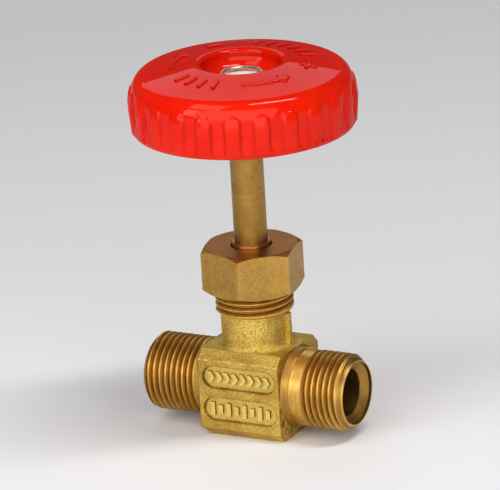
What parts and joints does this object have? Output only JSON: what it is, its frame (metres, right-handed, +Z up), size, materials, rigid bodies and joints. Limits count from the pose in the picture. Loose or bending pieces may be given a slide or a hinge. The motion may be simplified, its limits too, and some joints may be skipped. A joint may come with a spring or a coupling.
{
  "type": "needle valve",
  "caption": "Straight brass needle valve with male threaded ports, a gland nut round a tall rising spindle and a red ribbed handwheel.",
  "frame": {"origin": "centre of the bounding box's foot, on the block's flat base under the spindle axis", "axes": "+X along the port axis towards the outlet, +Z up the spindle axis to the handwheel, -Y out of the face with the two panels"},
  "size_m": [0.0486, 0.0486, 0.0804],
  "materials": {
    "forged_brass": "blasted forging with machined ports",
    "turned_brass": "turned, slightly tarnished",
    "stainless_steel": "ground",
    "ptfe": "smooth",
    "nitrile_rubber": "matt",
    "red_enamel": "gloss",
    "zinc_plated_steel": "bright zinc plate"
  },
  "bodies": {
    "valve": {"valve_body": "forged_brass", "packing_base_washer": "turned_brass", "packing_bottom_adapter": "ptfe", "packing_v_ring_1": "ptfe", "packing_v_ring_2": "ptfe", "packing_v_ring_3": "ptfe", "packing_top_adapter": "ptfe", "gland_follower": "turned_brass", "wiper_o_ring": "nitrile_rubber", "gland_slip_washer": "ptfe", "gland_nut": "turned_brass"},
    "swivel_needle": {"needle": "stainless_steel"},
    "stem_and_wheel": {"spindle": "turned_brass", "needle_retaining_pins": "stainless_steel", "handwheel": "red_enamel", "spring_washer": "zinc_plated_steel", "cup_washer": "zinc_plated_steel", "handwheel_screw": "zinc_plated_steel"}
  },
  "joints": [
    {"name": "needle_lift", "type": "slide", "parent": "valve", "child": "swivel_needle", "axis": [0, 0, 1], "range_m": [0, 0.00626]},
    {"name": "spindle_turn", "type": "hinge", "parent": "swivel_needle", "child": "stem_and_wheel", "pos_m": [0, 0, 0.0145], "axis": [0, 0, 1], "range_deg": [0, 1800]}
  ],
  "couplings": [
    {"joint": "needle_lift", "follows": "spindle_turn", "m_per_rad": 0.00019894}
  ]
}
